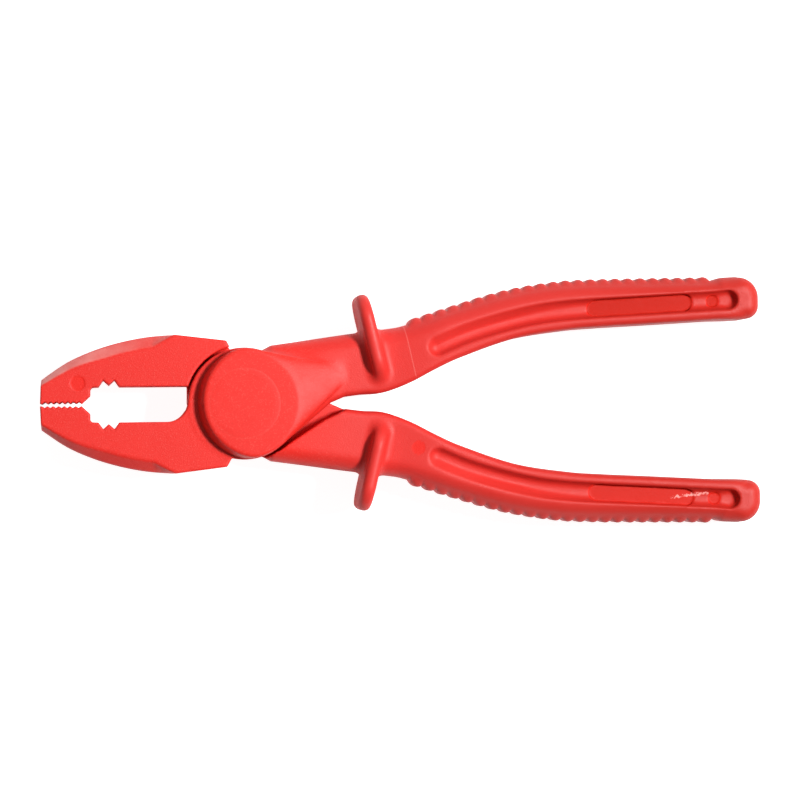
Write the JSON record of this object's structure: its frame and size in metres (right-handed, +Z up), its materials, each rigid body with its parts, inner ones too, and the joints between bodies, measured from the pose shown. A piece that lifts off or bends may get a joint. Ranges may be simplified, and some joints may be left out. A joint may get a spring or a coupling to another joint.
{
  "type": "insulated combination pliers",
  "caption": "Moulded plastic pliers with a toothed tip, a notched pipe grip, a large round pivot boss, finger guards and ribbed handles.",
  "frame": {"origin": "pivot axis, where it meets the outer face of the rear pivot cap, which is the plane that the pliers lie on", "axes": "+X from the jaws along the tool towards the handle ends, +Y across the tool towards the front lever's handle, +Z up along the pivot axis, from the rear boss to the front boss"},
  "size_m": [0.2204, 0.0758, 0.026],
  "materials": {
    "red_plastic": "matte, fine moulded grain, glass-fibre reinforced",
    "cap_plastic": "matte, slightly smoother than the levers",
    "bearing_plastic": "natural bearing plastic, semi-gloss",
    "steel": "zinc-plated"
  },
  "bodies": {
    "front_half": {"front_lever": "red_plastic", "front_pivot_cap": "cap_plastic", "pivot_bolt": "steel", "head_washer": "steel", "front_bush": "bearing_plastic", "thrust_washer": "bearing_plastic", "disc_spring": "steel", "pivot_nut": "steel"},
    "rear_half": {"rear_lever": "red_plastic", "rear_pivot_cap": "cap_plastic", "rear_bush": "bearing_plastic", "nut_washer": "steel"}
  },
  "joints": [
    {"name": "pivot", "type": "hinge", "parent": "front_half", "child": "rear_half", "pos_m": [0, 0, 0.013], "axis": [0, 0, -1], "range_deg": [-0.4, 30]}
  ]
}
